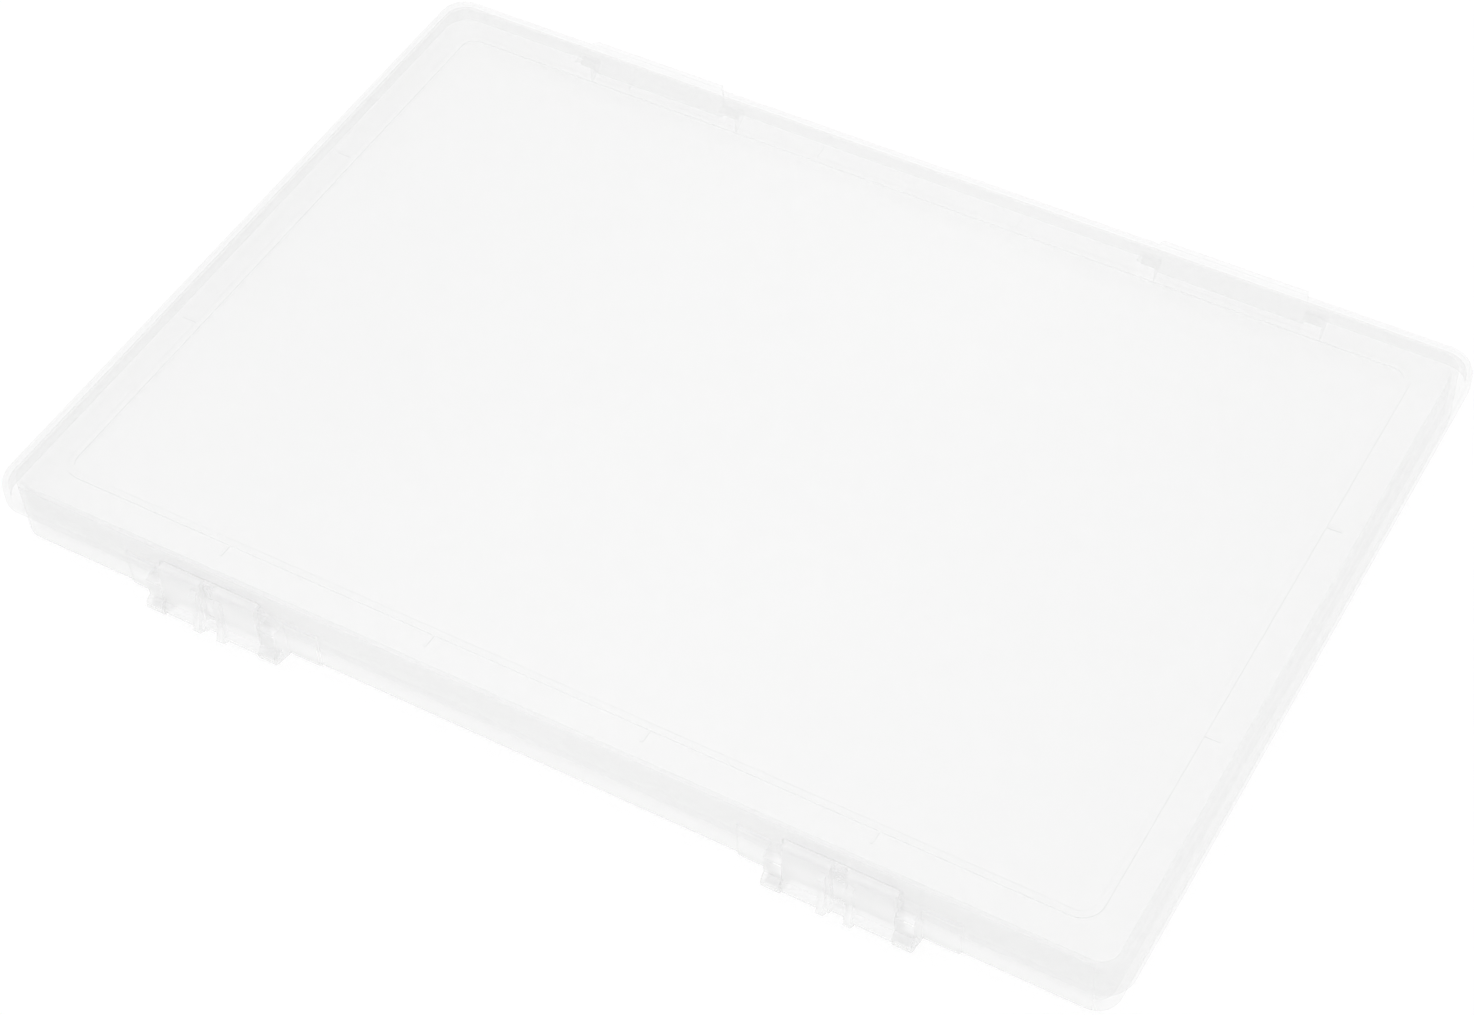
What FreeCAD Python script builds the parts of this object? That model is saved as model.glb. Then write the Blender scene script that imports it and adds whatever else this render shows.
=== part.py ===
import FreeCAD, Part
import math
import os

# Portable file box: a shallow clear case for loose A4 sheets.
# A lid with a rounded edge hinges on the back of a tray, and two snap latches hold its front down.
# Millimetres. X runs along the long side, the latches face -Y, the hinges +Y, the base lies on Z = 0.

# Overall sizes
lid_length = 324.0
lid_width = 222.5
case_height = 21.6

# Lid shell
lid_wall = 1.6
lid_corner_radius = 8.5
lid_edge_radius = 4.5
lid_skirt_depth = 8.2

# Low rib that runs round the underside of the lid, with small gussets on its outer side
rib_inset = 13.1
rib_thickness = 2.0
rib_depth = 0.5
rib_corner_radius = 6.0
gusset_length = 4.0
gusset_thickness = 0.8
gusset_tip_height = 0.3
gusset_spacing_x = 62.4
gusset_spacing_y = 74.2
gussets_per_long_side = 4
gussets_per_short_side = 2

# Tray shell
tray_inset = 3.4
tray_wall = 1.6
tray_floor = 1.5
tray_corner_radius = 6.4
tray_foot_radius = 1.4
tray_inner_radius = 2.4
tray_rim_radius = 0.5
lid_seat_gap = 0.3

# Pads and ears on the tray's front wall that carry the latches
latch_spacing = 181.2
ear_gap = 30.4
ear_width = 4.8
ear_radius = 2.6
ear_top_radius = 1.0
ear_slope_degrees = 15.0
ear_head_gap = 0.5
pad_length = 60.0
pad_thickness = 1.0
pad_end_radius = 0.8

# Latches: a barrel between the ears, a plate up the lid's skirt and a hook over its edge
latch_pin_out = 1.2
latch_pin_height = 4.2
latch_pin_radius = 1.4
latch_pin_end_gap = 0.8
latch_barrel_radius = 2.1
latch_side_gap = 0.3
latch_plate_thickness = 1.5
latch_plate_gap = 0.4
latch_top_drop = 1.9
latch_hook_thickness = 1.3
latch_hook_gap = 0.2
latch_top_radius = 1.2
latch_hook_radius = 0.3
latch_slot_width = 4.0
latch_rib_width = 1.8
latch_rib_gap = 0.8
latch_rib_proud = 1.5
latch_rib_start = 2.6

# Points of a latch rib's nose round the barrel, as shares of the barrel's radius from the pin's centre
latch_nose_shares = ((-1.05, 1.75), (-1.75, -0.10), (-1.50, -0.50), (-0.75, -1.00), (0.20, -0.90))

# Notches in the lid's edge that the hooks drop into
notch_depth = 1.0
notch_side_gap = 1.0

# Hinges: an arm on the lid between two ears on the tray's back wall
hinge_spacing = 182.0
hinge_arm_length = 43.0
hinge_arm_proud = 2.4
hinge_arm_drop = 3.0
hinge_arm_radius = 2.0
hinge_arm_end_radius = 2.2
hinge_pin_out = 0.2
hinge_pin_lift = 0.1
hinge_pin_radius = 1.4
hinge_pin_end_gap = 0.8
hinge_ear_radius = 2.1
hinge_ear_width = 5.5
hinge_ear_slope_degrees = 30.0
hinge_side_gap = 0.3

# Fit of every moulded pin in its ear
pin_clearance = 0.08

# How far cutting solids run past the faces they cut, and how near two places count as one
overrun = 2.0
same_place = 0.001

# Derived heights and planes
tray_top = case_height - lid_wall - lid_seat_gap
skirt_bottom = case_height - lid_skirt_depth
plate_bottom = case_height - lid_wall
ear_top = skirt_bottom - ear_head_gap
hook_top = case_height - latch_top_drop
notch_floor = hook_top - latch_hook_thickness - latch_hook_gap
hinge_pin_height = case_height / 2 + hinge_pin_lift
front_reach = latch_pin_out - min(y for y, z in latch_nose_shares) * latch_barrel_radius
y_front = -lid_width / 2 + (front_reach - hinge_arm_proud) / 2
y_back = y_front + lid_width
y_middle = (y_front + y_back) / 2
tray_length = lid_length - 2 * tray_inset
tray_width = lid_width - 2 * tray_inset
tray_front = y_front + tray_inset
tray_back = y_back - tray_inset
latch_length = ear_gap - 2 * latch_side_gap
latch_pin_y = y_front - latch_pin_out
latch_face = y_front - latch_plate_gap - latch_plate_thickness
hinge_pin_y = y_back + hinge_pin_out


def vector(x, y, z):
    return FreeCAD.Vector(x, y, z)


def upright_edges(shape):
    steep = math.cos(math.radians(45))
    return [e for e in shape.Edges if abs(e.tangentAt(e.FirstParameter).z) > steep]


def rounded_prism(length, width, radius, bottom, top):
    """Upright block with rounded corners, centred on the lid's plan."""
    block = Part.makeBox(length, width, top - bottom, vector(-length / 2, y_middle - width / 2, bottom))
    return block.makeFillet(radius, upright_edges(block))


def edges_at(shape, height):
    """Edges that lie flat at one height."""
    ends = [(e, e.BoundBox.ZMin - height, e.BoundBox.ZMax - height) for e in shape.Edges]
    return [e for e, low, high in ends if abs(low) < same_place and abs(high) < same_place]


def rounded_outline(corners):
    """Closed wire in the YZ plane through (y, z, radius) corners, each rounded by a tangent arc."""
    edges = []
    count = len(corners)
    starts, ends, arcs = [], [], []
    for i, (y, z, radius) in enumerate(corners):
        point = vector(0, y, z)
        back = (vector(0, *corners[i - 1][:2]) - point).normalize()
        ahead = (vector(0, *corners[(i + 1) % count][:2]) - point).normalize()
        half = back.getAngle(ahead) / 2
        run = radius / math.tan(half)
        inward = (back + ahead).normalize()
        starts.append(point + back * run)
        ends.append(point + ahead * run)
        arcs.append(point + inward * (radius / math.sin(half) - radius))
    for i in range(count):
        if corners[i][2] > 0:
            edges.append(Part.Arc(starts[i], arcs[i], ends[i]).toShape())
        following = starts[(i + 1) % count]
        if ends[i].distanceToPoint(following) > same_place:
            edges.append(Part.LineSegment(ends[i], following).toShape())
    return Part.Wire(edges)


def profile_along_x(corners, x_start, length):
    """Solid of a rounded YZ outline drawn out along X."""
    face = Part.Face(rounded_outline(corners))
    face.translate(vector(x_start, 0, 0))
    return face.extrude(vector(length, 0, 0))


def rod(radius, x_start, length, y, z):
    return Part.makeCylinder(radius, length, vector(x_start, y, z), vector(1, 0, 0))


def box(x0, x1, y0, y1, z0, z1):
    return Part.makeBox(x1 - x0, y1 - y0, z1 - z0, vector(x0, y0, z0))


def pair(spacing):
    """Centres of the left and the right copy of a fitting."""
    return (-spacing / 2, spacing / 2)


def tray_shell():
    outer = rounded_prism(tray_length, tray_width, tray_corner_radius, 0, tray_top)
    outer = outer.makeFillet(tray_foot_radius, edges_at(outer, 0))
    inner = rounded_prism(tray_length - 2 * tray_wall, tray_width - 2 * tray_wall,
                          tray_corner_radius - tray_wall, tray_floor, tray_top + overrun)
    inner = inner.makeFillet(tray_inner_radius, edges_at(inner, tray_floor))
    shell = outer.cut(inner)
    return shell.makeFillet(tray_rim_radius, edges_at(shell, tray_top))


def latch_pad(x):
    """Thickened patch of the front wall behind one latch."""
    half = pad_length / 2
    face = tray_front - pad_thickness
    pad = box(x - half, x + half, face, tray_front + tray_wall / 2, tray_foot_radius, ear_top)
    ends = [e for e in pad.Edges if e.BoundBox.YMax < tray_front and e.BoundBox.XLength < pad_thickness]
    return pad.makeFillet(pad_end_radius, ends)


def ear_lug(x_start, width, pin_y, pin_height, radius, out, slope_degrees, wall_face, root):
    """Lug of an ear: rounded about its pin, with an underside that slopes back to the wall."""
    slope = math.radians(slope_degrees)
    nose = pin_y + out * radius
    nose_drop = radius * (1 - math.sin(slope)) / math.cos(slope)
    reach = out * (pin_y - wall_face)
    foot = pin_height - (radius + reach * math.sin(slope)) / math.cos(slope)
    corners = [
        (root, pin_height + radius, 0),
        (nose, pin_height + radius, radius),
        (nose, pin_height - nose_drop, radius),
        (wall_face, foot, 0),
        (root, foot, 0),
    ]
    return profile_along_x(corners, x_start, width)


def latch_ear(x_start):
    """Ear beside a latch: an upright level with the latch's face, on a lug round the pin."""
    root = tray_front + tray_wall / 2
    lug = ear_lug(x_start, ear_width, latch_pin_y, latch_pin_height, ear_radius, -1,
                  ear_slope_degrees, tray_front - pad_thickness, root)
    corners = [
        (root, ear_top, 0),
        (latch_face, ear_top, ear_top_radius),
        (latch_face, latch_pin_height, 0),
        (root, latch_pin_height, 0),
    ]
    return lug.fuse(profile_along_x(corners, x_start, ear_width))


def hinge_ear(x_start):
    return ear_lug(x_start, hinge_ear_width, hinge_pin_y, hinge_pin_height, hinge_ear_radius, 1,
                   hinge_ear_slope_degrees, tray_back, tray_back - tray_wall / 2)


def make_tray():
    fittings = []
    bores = []
    ear_steps = (-ear_gap / 2 - ear_width, ear_gap / 2)
    for x in pair(latch_spacing):
        fittings.append(latch_pad(x))
        fittings += [latch_ear(x + step) for step in ear_steps]
        bore_length = ear_gap + 2 * (ear_width + overrun)
        bores.append(rod(latch_pin_radius + pin_clearance, x - bore_length / 2, bore_length,
                         latch_pin_y, latch_pin_height))
    hinge_half = hinge_arm_length / 2 + hinge_side_gap
    for x in pair(hinge_spacing):
        fittings += [hinge_ear(x - hinge_half - hinge_ear_width), hinge_ear(x + hinge_half)]
        bore_length = 2 * (hinge_half + hinge_ear_width + overrun)
        bores.append(rod(hinge_pin_radius + pin_clearance, x - bore_length / 2, bore_length,
                         hinge_pin_y, hinge_pin_height))
    return tray_shell().fuse(fittings).cut(bores).removeSplitter()


def lid_outer():
    outer = rounded_prism(lid_length, lid_width, lid_corner_radius, skirt_bottom, case_height)
    return outer.makeFillet(lid_edge_radius, edges_at(outer, case_height))


def lid_inner():
    inner = rounded_prism(lid_length - 2 * lid_wall, lid_width - 2 * lid_wall,
                          lid_corner_radius - lid_wall, skirt_bottom - overrun, plate_bottom)
    return inner.makeFillet(lid_edge_radius - lid_wall, edges_at(inner, plate_bottom))


def lid_rib():
    """Low rib round the underside, one wall deep in the plate at its root."""
    bottom = plate_bottom - rib_depth
    top = plate_bottom + lid_wall / 2
    length = lid_length - 2 * rib_inset
    width = lid_width - 2 * rib_inset
    outer = rounded_prism(length, width, rib_corner_radius, bottom, top)
    inner = rounded_prism(length - 2 * rib_thickness, width - 2 * rib_thickness,
                          rib_corner_radius - rib_thickness, bottom - overrun, top + overrun)
    return outer.cut(inner)


def gusset(x, y, turn):
    """Small web on the rib's outer side at (x, y), tapering as it leaves the rib."""
    root = plate_bottom + lid_wall / 2
    points = [
        (-rib_thickness / 2, root),
        (gusset_length, root),
        (gusset_length, plate_bottom - gusset_tip_height),
        (0, plate_bottom - rib_depth),
        (-rib_thickness / 2, plate_bottom - rib_depth),
    ]
    wire = Part.makePolygon([vector(u, -gusset_thickness / 2, z) for u, z in points + points[:1]])
    web = Part.Face(wire).extrude(vector(0, gusset_thickness, 0))
    web.rotate(vector(0, 0, 0), vector(0, 0, 1), turn)
    web.translate(vector(x, y, 0))
    return web


def spread(count, spacing):
    return [(i - (count - 1) / 2) * spacing for i in range(count)]


def lid_gussets():
    webs = []
    half_length = lid_length / 2 - rib_inset
    half_width = lid_width / 2 - rib_inset
    for x in spread(gussets_per_long_side, gusset_spacing_x):
        webs += [gusset(x, y_middle - half_width, -90), gusset(x, y_middle + half_width, 90)]
    for y in spread(gussets_per_short_side, gusset_spacing_y):
        webs += [gusset(half_length, y_middle + y, 0), gusset(-half_length, y_middle + y, 180)]
    return webs


def notch_cut(x):
    half = latch_length / 2 + notch_side_gap
    return box(x - half, x + half, y_front - overrun, y_front + notch_depth,
               notch_floor, case_height + overrun)


def hinge_arm(x):
    """Arm that swells from the lid's back edge and ends in a knuckle with a pin at each end."""
    knuckle = hinge_arm_proud - hinge_pin_out
    back = y_back + hinge_arm_proud
    corners = [
        (y_back - lid_wall, case_height - lid_wall / 2, 0),
        (back, case_height - hinge_arm_drop, hinge_arm_radius),
        (back, hinge_pin_height - knuckle, knuckle),
        (hinge_pin_y - knuckle, hinge_pin_height - knuckle, knuckle),
        (hinge_pin_y - knuckle, hinge_pin_height, 0),
        (y_back - lid_wall, skirt_bottom, 0),
    ]
    half = hinge_arm_length / 2
    arm = profile_along_x(corners, x - half, hinge_arm_length)
    plan = box(x - half, x + half, y_back - hinge_arm_length, back, 0, case_height)
    far_edges = [e for e in upright_edges(plan) if e.BoundBox.YMin > y_back]
    arm = arm.common(plan.makeFillet(hinge_arm_end_radius, far_edges))
    pin_length = hinge_arm_length + 2 * (hinge_side_gap + hinge_ear_width - hinge_pin_end_gap)
    pin = rod(hinge_pin_radius, x - pin_length / 2, pin_length, hinge_pin_y, hinge_pin_height)
    return arm.fuse(pin)


def make_lid():
    lid = lid_outer().cut(lid_inner())
    arms = [hinge_arm(x) for x in pair(hinge_spacing)]
    lid = lid.fuse([lid_rib()] + lid_gussets() + arms)
    return lid.cut([notch_cut(x) for x in pair(latch_spacing)]).removeSplitter()


def latch_plate():
    """Plate with a hook over the lid's edge, drawn along the latch."""
    inside = y_front - latch_plate_gap
    tip = y_front + notch_depth - latch_hook_gap
    under = hook_top - latch_hook_thickness
    corners = [
        (latch_face, latch_pin_height, 0),
        (latch_face, hook_top, latch_top_radius),
        (tip, hook_top, latch_hook_radius),
        (tip, under, latch_hook_radius),
        (inside, under, latch_hook_radius),
        (inside, latch_pin_height, 0),
    ]
    return profile_along_x(corners, -latch_length / 2, latch_length)


def latch_rib(x_start):
    """Upright rib on the plate's face that wraps the barrel and ends in a pointed nose."""
    middle = latch_face + latch_plate_thickness / 2
    start = hook_top - latch_rib_start
    nose = [(latch_pin_y + y * latch_barrel_radius, latch_pin_height + z * latch_barrel_radius, 0)
            for y, z in latch_nose_shares]
    corners = [
        (middle, start, 0),
        (latch_face, start, 0),
        (latch_face - latch_rib_proud, start - latch_rib_proud, latch_hook_radius),
    ]
    return profile_along_x(corners + nose + [(middle, latch_pin_height, 0)], x_start, latch_rib_width)


def make_latch(x):
    barrel = rod(latch_barrel_radius, -latch_length / 2, latch_length, latch_pin_y, latch_pin_height)
    pin_length = ear_gap + 2 * (ear_width - latch_pin_end_gap)
    pin = rod(latch_pin_radius, -pin_length / 2, pin_length, latch_pin_y, latch_pin_height)
    half = latch_slot_width / 2
    slot = box(-half, half, latch_pin_y - front_reach, y_front, 0, case_height)
    rib_at = half + latch_rib_gap
    ribs = [latch_rib(rib_at), latch_rib(-rib_at - latch_rib_width)]
    latch = latch_plate().fuse([barrel]).cut(slot).fuse([pin] + ribs).removeSplitter()
    latch.translate(vector(x, 0, 0))
    return latch


def main():
    os.makedirs("parts", exist_ok=True)
    left, right = pair(latch_spacing)
    pieces = {
        "tray": make_tray(),
        "lid": make_lid(),
        "latch_left": make_latch(left),
        "latch_right": make_latch(right),
    }
    for name, shape in pieces.items():
        print(name, len(shape.Solids), shape.isValid(), round(shape.Volume), shape.BoundBox)
        shape.exportStep(f"parts/{name}.step")


main()
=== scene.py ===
import math

import bpy
from mathutils import Matrix, Vector

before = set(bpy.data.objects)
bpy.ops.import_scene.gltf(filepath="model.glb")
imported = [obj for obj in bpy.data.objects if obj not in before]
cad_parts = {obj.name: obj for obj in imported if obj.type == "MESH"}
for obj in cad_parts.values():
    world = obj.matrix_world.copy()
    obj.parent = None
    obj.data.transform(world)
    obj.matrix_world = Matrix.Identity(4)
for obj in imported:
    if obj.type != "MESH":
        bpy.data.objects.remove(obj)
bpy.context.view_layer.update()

# Camera of the photograph: pixels for the image and the focal length, degrees, metres.
# The shifts move it along the right and the up of the image.
IMAGE_WIDTH = 1474
FOCAL_LENGTH = 3106.48
SENSOR_WIDTH = 36.0
CAMERA_AZIMUTH = -32.356
CAMERA_ELEVATION = 48.823
CAMERA_ROLL = -3.406
CAMERA_DISTANCE = 0.748847
CAMERA_RIGHT_SHIFT = 0.054614
CAMERA_UP_SHIFT = 0.050045
CAMERA_TARGET = (0, -0.1100125, 0.0216)
CAMERA_CLIP_START = 0.01

# Clear polypropylene. A range of places or values stands beside the amounts it is mapped to.
PLASTIC_IOR = 1.49
SLANT_BLEND = 0.5
SLANT_RANGE = (0.2, 1.0)
# Painted shade: the plastic turns greyer toward the short ends, where the light falls off.
ENDS_RANGE, ENDS_SHARE = (0.04, 0.15), (0.75, 0.0)
CLOUD_SCALE, CLOUD_DETAIL = 14.0, 4.0
CLOUD_RANGE, CLOUD_SHARE = (0.35, 0.65), (0.0, 0.25)
GLOSS_SCALE, GLOSS_DETAIL = 90.0, 3.0
WAVE_SCALE, WAVE_DETAIL = 22.0, 1.0
WAVE_STRENGTH, WAVE_HEIGHT = 0.06, 0.0006
# Painted light at the hinges: the colour turns paler over this range of places.
HINGES_Y, HINGES_SHARE = (0.1085, 0.1105), (0.0, 1.0)

# Haze of the tray by place
FRONT_Y, FRONT_HAZE = (-0.1045, -0.1065), (0.0, 1.0)
BACK_Y, BACK_HAZE = (0.1085, 0.1100), (1.0, 0.15)
WALL_Z, WALL_HAZE = (0.0015, 0.0145), (0.1, 0.5)
RIM_Z, RIM_HAZE = (0.0150, 0.0175), (1.0, 0.05)
FRONT_LEAST_HAZE = 0.3

# Floor and studio light
FLOOR_HALF = 3.0
FLOOR_Z = -0.0004
FLOOR_LEVEL = 0.98
FLOOR_GLOW = 1.02
FLOOR_GLOW_SHARE = 0.85
WORLD_LIGHT = 0.88
WORLD_SEEN = 1.0


def grey(level):
    return (level, level, level, 1)


def ramp(tree, source, from_range, to_range):
    """Maps a value from one range to another, held at the ends."""
    node = tree.nodes.new("ShaderNodeMapRange")
    node.inputs["From Min"].default_value, node.inputs["From Max"].default_value = from_range
    node.inputs["To Min"].default_value, node.inputs["To Max"].default_value = to_range
    tree.links.new(source, node.inputs["Value"])
    return node.outputs["Result"]


def join(tree, operation, first, second=0.0):
    """Joins a value with another one or with a number."""
    node = tree.nodes.new("ShaderNodeMath")
    node.operation = operation
    tree.links.new(first, node.inputs[0])
    if isinstance(second, float):
        node.inputs[1].default_value = second
    else:
        tree.links.new(second, node.inputs[1])
    return node.outputs["Value"]


def noise(tree, place, scale, detail):
    node = tree.nodes.new("ShaderNodeTexNoise")
    node.inputs["Scale"].default_value = scale
    node.inputs["Detail"].default_value = detail
    tree.links.new(place, node.inputs["Vector"])
    return node.outputs["Fac"]


def tray_haze(tree, axes, amount):
    """Haze of the tray by place: full on its front with the latch ears. Inside it fades to the
    floor and to the rim, and it is low at the thin hinge ears."""
    front = ramp(tree, axes["Y"], FRONT_Y, FRONT_HAZE)
    back = ramp(tree, axes["Y"], BACK_Y, BACK_HAZE)
    wall = ramp(tree, axes["Z"], WALL_Z, WALL_HAZE)
    rim = ramp(tree, axes["Z"], RIM_Z, RIM_HAZE)
    inside = join(tree, "MULTIPLY", join(tree, "MULTIPLY", wall, rim), back)
    amount = join(tree, "MULTIPLY", amount, join(tree, "MAXIMUM", front, inside))
    return join(tree, "MAXIMUM", amount, join(tree, "MULTIPLY", front, FRONT_LEAST_HAZE))


def plastic_tint_and_painted_light(tree, place, axes, tint, hinge_painted_light):
    """Cloudy. Painted shade makes it a little greyer to the short ends, where the light falls off,
    and painted light makes it paler at the hinges, against the shade of the many thin walls that
    lie behind one another there."""
    # Painted shade, a little greyer toward the short ends.
    ends = ramp(tree, join(tree, "ABSOLUTE", axes["X"]), ENDS_RANGE, ENDS_SHARE)
    cloud = ramp(tree, noise(tree, place, CLOUD_SCALE, CLOUD_DETAIL), CLOUD_RANGE, CLOUD_SHARE)
    shades = tree.nodes.new("ShaderNodeValToRGB")
    shades.color_ramp.elements[0].color = grey(tint[0])
    shades.color_ramp.elements[1].color = grey(tint[1])
    tree.links.new(join(tree, "ADD", ends, cloud), shades.inputs["Fac"])
    if not hinge_painted_light:
        return shades.outputs["Color"]
    # Painted light: paler toward the hinges, lifting the shade of the thin walls that lie behind
    # one another there.
    paler = tree.nodes.new("ShaderNodeMix")
    paler.data_type = "RGBA"
    paler.inputs["B"].default_value = grey(hinge_painted_light)
    tree.links.new(ramp(tree, axes["Y"], HINGES_Y, HINGES_SHARE), paler.inputs["Factor"])
    tree.links.new(shades.outputs["Color"], paler.inputs["A"])
    return paler.outputs["Result"]


def make_material(name, tint, roughness, haze, hinge_painted_light=None, place_haze=None):
    """Clear moulded plastic: faint uneven haze, a soft gloss and a slight waviness."""
    material = bpy.data.materials.new(name)
    material.use_nodes = True
    tree = material.node_tree
    shader = tree.nodes["Principled BSDF"]
    shader.inputs["IOR"].default_value = PLASTIC_IOR
    place = tree.nodes.new("ShaderNodeTexCoord").outputs["Object"]
    split = tree.nodes.new("ShaderNodeSeparateXYZ")
    tree.links.new(place, split.inputs["Vector"])
    axes = split.outputs

    # Haze grows where a face is seen at a slant.
    facing = tree.nodes.new("ShaderNodeLayerWeight")
    facing.inputs["Blend"].default_value = SLANT_BLEND
    amount = ramp(tree, facing.outputs["Facing"], SLANT_RANGE, (0.0, 1.0))
    if place_haze:
        amount = place_haze(tree, axes, amount)
    tree.links.new(ramp(tree, amount, (0.0, 1.0), haze), shader.inputs["Alpha"])

    # Base colour: cloudy, with painted shade toward the short ends and painted light at the hinges.
    colour = plastic_tint_and_painted_light(tree, place, axes, tint, hinge_painted_light)
    tree.links.new(colour, shader.inputs["Base Color"])

    gloss = noise(tree, place, GLOSS_SCALE, GLOSS_DETAIL)
    tree.links.new(ramp(tree, gloss, (0.0, 1.0), roughness), shader.inputs["Roughness"])

    wave = tree.nodes.new("ShaderNodeBump")
    wave.inputs["Strength"].default_value = WAVE_STRENGTH
    wave.inputs["Distance"].default_value = WAVE_HEIGHT
    tree.links.new(noise(tree, place, WAVE_SCALE, WAVE_DETAIL), wave.inputs["Height"])
    tree.links.new(wave.outputs["Normal"], shader.inputs["Normal"])
    return material


def dress(node, material):
    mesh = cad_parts[node].data
    mesh.materials.clear()
    mesh.materials.append(material)


def add_camera():
    """Camera at the place, direction and slight roll that the outline of the case gives."""
    azimuth = math.radians(CAMERA_AZIMUTH)
    elevation = math.radians(CAMERA_ELEVATION)
    roll = math.radians(CAMERA_ROLL)
    forward = Vector((math.sin(azimuth) * math.cos(elevation),
                      math.cos(azimuth) * math.cos(elevation),
                      -math.sin(elevation)))
    level = Vector((math.cos(azimuth), -math.sin(azimuth), 0))
    upright = level.cross(forward)
    right = level * math.cos(roll) + upright * math.sin(roll)
    up = upright * math.cos(roll) - level * math.sin(roll)
    shift = right * CAMERA_RIGHT_SHIFT + up * CAMERA_UP_SHIFT
    place = Vector(CAMERA_TARGET) - forward * CAMERA_DISTANCE + shift
    camera = bpy.data.cameras.new("camera")
    camera.sensor_width = SENSOR_WIDTH
    camera.sensor_fit = "HORIZONTAL"
    camera.lens = FOCAL_LENGTH / IMAGE_WIDTH * SENSOR_WIDTH
    camera.clip_start = CAMERA_CLIP_START
    holder = bpy.data.objects.new("camera", camera)
    turn = Matrix((right, up, -forward)).transposed()
    holder.matrix_world = Matrix.Translation(place) @ turn.to_4x4()
    bpy.context.scene.collection.objects.link(holder)
    bpy.context.scene.camera = holder


def seen_ray(tree):
    """One for the rays that come from the camera, straight through the clear pieces too."""
    return tree.nodes.new("ShaderNodeLightPath").outputs["Is Camera Ray"]


def mix_surface(tree, output, share, first, second):
    """Surface that goes from the first shader to the second by the share."""
    mix = tree.nodes.new("ShaderNodeMixShader")
    tree.links.new(share, mix.inputs["Fac"])
    tree.links.new(first.outputs[0], mix.inputs[1])
    tree.links.new(second.outputs[0], mix.inputs[2])
    tree.links.new(mix.outputs[0], output.inputs["Surface"])


def add_floor():
    """White floor that keeps a part of its own light and shadow."""
    half = FLOOR_HALF
    corners = [(-half, -half, 0), (half, -half, 0), (half, half, 0), (-half, half, 0)]
    mesh = bpy.data.meshes.new("floor")
    mesh.from_pydata(corners, [], [(0, 1, 2, 3)])
    floor = bpy.data.objects.new("floor", mesh)
    floor.location.z = FLOOR_Z
    bpy.context.scene.collection.objects.link(floor)
    material = bpy.data.materials.new("floor_white")
    material.use_nodes = True
    tree = material.node_tree
    tree.nodes.clear()
    output = tree.nodes.new("ShaderNodeOutputMaterial")
    matt = tree.nodes.new("ShaderNodeBsdfDiffuse")
    matt.inputs["Color"].default_value = grey(FLOOR_LEVEL)
    glow = tree.nodes.new("ShaderNodeEmission")
    glow.inputs["Strength"].default_value = FLOOR_GLOW
    share = join(tree, "MULTIPLY", seen_ray(tree), FLOOR_GLOW_SHARE)
    mix_surface(tree, output, share, matt, glow)
    mesh.materials.append(material)


def background(tree, strength):
    node = tree.nodes.new("ShaderNodeBackground")
    node.inputs["Color"].default_value = grey(1)
    node.inputs["Strength"].default_value = strength
    return node


def add_world():
    """Even soft light, white where the camera sees it."""
    world = bpy.data.worlds.new("studio")
    bpy.context.scene.world = world
    world.use_nodes = True
    tree = world.node_tree
    tree.nodes.clear()
    output = tree.nodes.new("ShaderNodeOutputWorld")
    soft = background(tree, WORLD_LIGHT)
    seen = background(tree, WORLD_SEEN)
    mix_surface(tree, output, seen_ray(tree), soft, seen)


def add_lamp(name, place, size, power):
    """Soft lamp that faces the origin."""
    lamp = bpy.data.lights.new(name, "AREA")
    lamp.shape = "RECTANGLE"
    lamp.size, lamp.size_y = size
    lamp.energy = power
    holder = bpy.data.objects.new(name, lamp)
    holder.location = place
    holder.rotation_euler = (-Vector(place)).to_track_quat("-Z", "Y").to_euler()
    bpy.context.scene.collection.objects.link(holder)


# Lid, tray and latches are one clear plastic; their different greys are painted light and shade
# that set how bright each part looks in this light.
lid_plastic = make_material("clear_plastic_lid", tint=(0.854, 0.894), roughness=(0.14, 0.20),
                            haze=(0.18, 0.26), hinge_painted_light=0.94)
tray_plastic = make_material("clear_plastic_tray", tint=(0.930, 0.942), roughness=(0.14, 0.20),
                             haze=(0.16, 0.56), hinge_painted_light=0.98, place_haze=tray_haze)
latch_plastic = make_material("clear_plastic_latch", tint=(0.950, 0.964), roughness=(0.12, 0.18),
                              haze=(0.28, 0.36))
dress("tray", tray_plastic)
dress("lid", lid_plastic)
dress("latch_left", latch_plastic)
dress("latch_right", latch_plastic)

add_camera()
add_floor()
add_world()
add_lamp("key", place=(-0.3, -0.2, 1.2), size=(1.0, 0.8), power=2.0)
add_lamp("fill", place=(0.7, 0.4, 1.0), size=(0.8, 0.8), power=1.0)

scene = bpy.context.scene
scene.view_settings.view_transform = "Standard"
# A ray can cross many clear walls, one behind another.
scene.cycles.max_bounces = 32
scene.cycles.diffuse_bounces = 12
scene.cycles.transparent_max_bounces = 64
